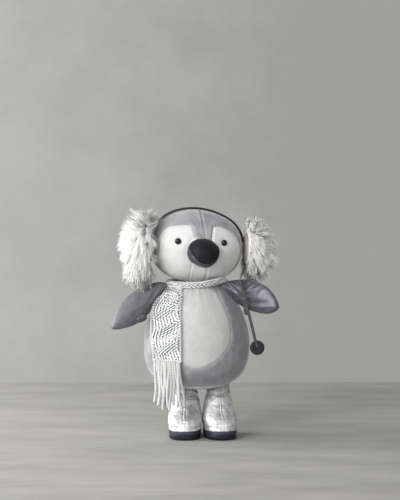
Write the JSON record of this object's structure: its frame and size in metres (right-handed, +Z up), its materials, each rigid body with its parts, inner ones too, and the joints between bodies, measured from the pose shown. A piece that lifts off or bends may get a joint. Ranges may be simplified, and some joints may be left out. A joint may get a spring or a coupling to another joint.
{
  "type": "plush penguin",
  "caption": "Standing stuffed penguin with swinging wings, tilting earmuffs, a fringed scarf, foil boots and a toy ski pole tied to one mitten.",
  "frame": {"origin": "on the floor, under the middle of the whole figure's bounding box", "axes": "+Z up, the penguin faces -Y, +X is towards the penguin's own left"},
  "size_m": [0.2678, 0.1756, 0.3601],
  "materials": {
    "grey_plush": "satin short-pile plush, grey",
    "white_plush": "matt short-pile plush, white",
    "foil_cloth": "crinkled silver foil cloth",
    "sole": "smooth dark blue-black",
    "suede": "brushed suede cloth, blue-black",
    "eye_bead": "polished black",
    "washer": "moulded, white",
    "felt": "thick pressed felt, black",
    "muff_backing": "knitted fur backing, tan",
    "band": "cloth-covered spring band, black",
    "fur": "long-pile faux fur, ivory",
    "knit": "chunky lace knit, white",
    "yarn": "soft twisted yarn, white",
    "filling": "polyester fibre filling",
    "pellets": "cotton bag of plastic pellets",
    "board": "stiff grey board",
    "dowel": "plain turned wood",
    "wire": "bare soft wire",
    "pole": "satin grey paint",
    "thread": "grey sewing thread"
  },
  "bodies": {
    "body": {"belly_panel": "white_plush", "body_panel_right": "grey_plush", "body_panel_left": "grey_plush", "base_panel": "grey_plush", "body_filling": "filling", "base_board": "board", "pellet_bag": "pellets", "neck_plug": "filling", "right_leg_sleeve": "foil_cloth", "left_leg_sleeve": "foil_cloth", "right_leg_rod": "dowel", "left_leg_rod": "dowel", "right_boot_upper": "foil_cloth", "left_boot_upper": "foil_cloth", "right_boot_sole": "sole", "left_boot_sole": "sole", "right_boot_insole": "board", "left_boot_insole": "board", "right_boot_filling": "filling", "left_boot_filling": "filling", "scarf_collar": "knit"},
    "scarf_tail": {"scarf_tail": "knit", "scarf_fringe": "yarn"},
    "right_wing": {"right_wing_front": "grey_plush", "right_wing_back": "grey_plush", "right_wing_filling": "filling", "right_wing_wire": "wire", "right_thumb": "grey_plush"},
    "left_wing": {"left_wing_front": "grey_plush", "left_wing_back": "grey_plush", "left_wing_filling": "filling", "left_wing_wire": "wire", "left_thumb": "grey_plush", "ski_pole_tie": "thread"},
    "ski_pole": {"ski_pole_rod": "pole", "ski_pole_basket": "felt", "ski_pole_cap": "pole"},
    "head": {"head_panel_right": "grey_plush", "head_panel_left": "grey_plush", "face_panel_right": "white_plush", "face_panel_left": "white_plush", "head_filling": "filling", "beak_upper": "suede", "beak_lower": "suede", "beak_filling": "filling", "right_eye": "eye_bead", "left_eye": "eye_bead", "right_eye_washer": "washer", "left_eye_washer": "washer"},
    "earmuffs": {"headband": "band", "right_muff_pad": "muff_backing", "left_muff_pad": "muff_backing", "right_muff_fur": "fur", "left_muff_fur": "fur"}
  },
  "joints": [
    {"name": "head_turn", "type": "hinge", "parent": "body", "child": "head", "pos_m": [0.0035, 0.005, 0.245], "axis": [0, 0, 1], "range_deg": [-15, 15], "stiffness_Nm_per_rad": 0.3},
    {"name": "earmuff_tilt", "type": "hinge", "parent": "head", "child": "earmuffs", "pos_m": [0.0035, 0.005, 0.2995], "axis": [0.9903, 0.1392, 0], "range_deg": [-20, 12]},
    {"name": "right_wing_swing", "type": "hinge", "parent": "body", "child": "right_wing", "pos_m": [-0.0595, -0.005, 0.236], "axis": [-0.2079, 0.9781, 0], "range_deg": [-1, 26]},
    {"name": "left_wing_swing", "type": "hinge", "parent": "body", "child": "left_wing", "pos_m": [0.0635, -0.005, 0.241], "axis": [-0.6691, -0.7431, 0], "range_deg": [-2, 16]},
    {"name": "ski_pole_swing", "type": "hinge", "parent": "left_wing", "child": "ski_pole", "pos_m": [0.07827, -0.043, 0.2227], "axis": [0, -1, 0], "range_deg": [-1, 18]},
    {"name": "scarf_tail_swing", "type": "hinge", "parent": "body", "child": "scarf_tail", "pos_m": [-0.031, -0.022, 0.236], "axis": [-0.617, 0.787, 0], "range_deg": [0, 22]}
  ]
}
